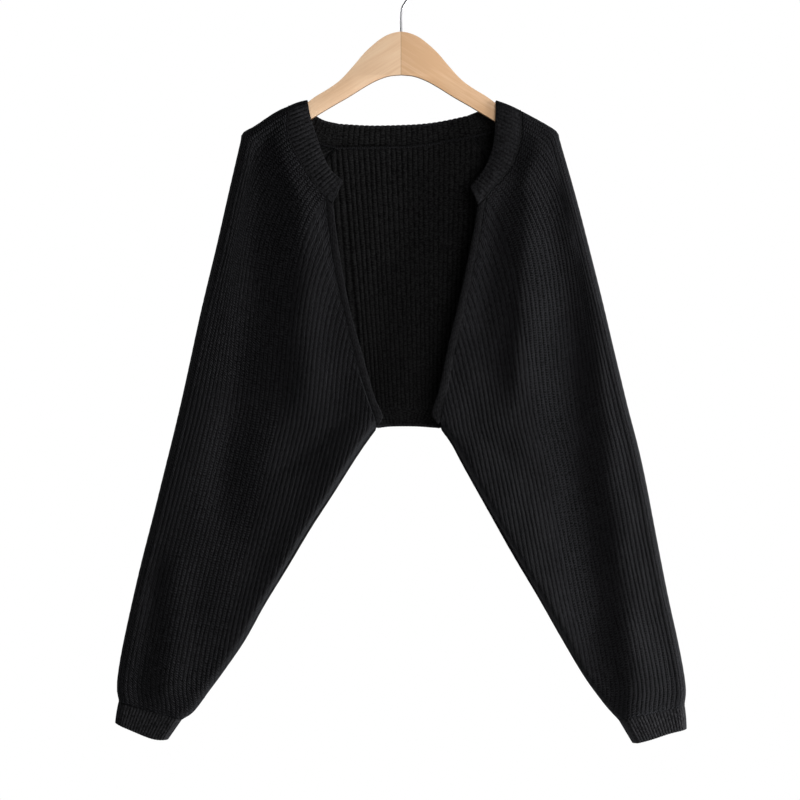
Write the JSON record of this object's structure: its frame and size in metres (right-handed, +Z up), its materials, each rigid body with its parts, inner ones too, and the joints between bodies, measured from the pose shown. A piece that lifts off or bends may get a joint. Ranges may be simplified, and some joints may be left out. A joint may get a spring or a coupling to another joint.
{
  "type": "open-front cardigan on a clothes hanger",
  "caption": "Open-front batwing cardigan in rib knit, hung on a shaped wooden hanger with a wire hook.",
  "frame": {"origin": "inner top of the hook, where a rail carries it", "axes": "+Z up, +X the wearer's left, -Y the front"},
  "size_m": [0.7144, 0.0355, 0.9759],
  "materials": {
    "knit": "near-black fine wool rib knit, matt",
    "wood": "pale wood, clear satin lacquer",
    "hook": "grey steel wire, smooth"
  },
  "bodies": {
    "root": {"back_panel": "knit", "hem_band": "knit", "left_cuff": "knit", "left_front_and_sleeve": "knit", "left_front_trim": "knit", "left_sleeve_back": "knit", "neckband": "knit", "right_cuff": "knit", "right_front_and_sleeve": "knit", "right_front_trim": "knit", "right_sleeve_back": "knit", "hanger_wood": "wood", "hanger_hook": "hook"}
  },
  "joints": []
}
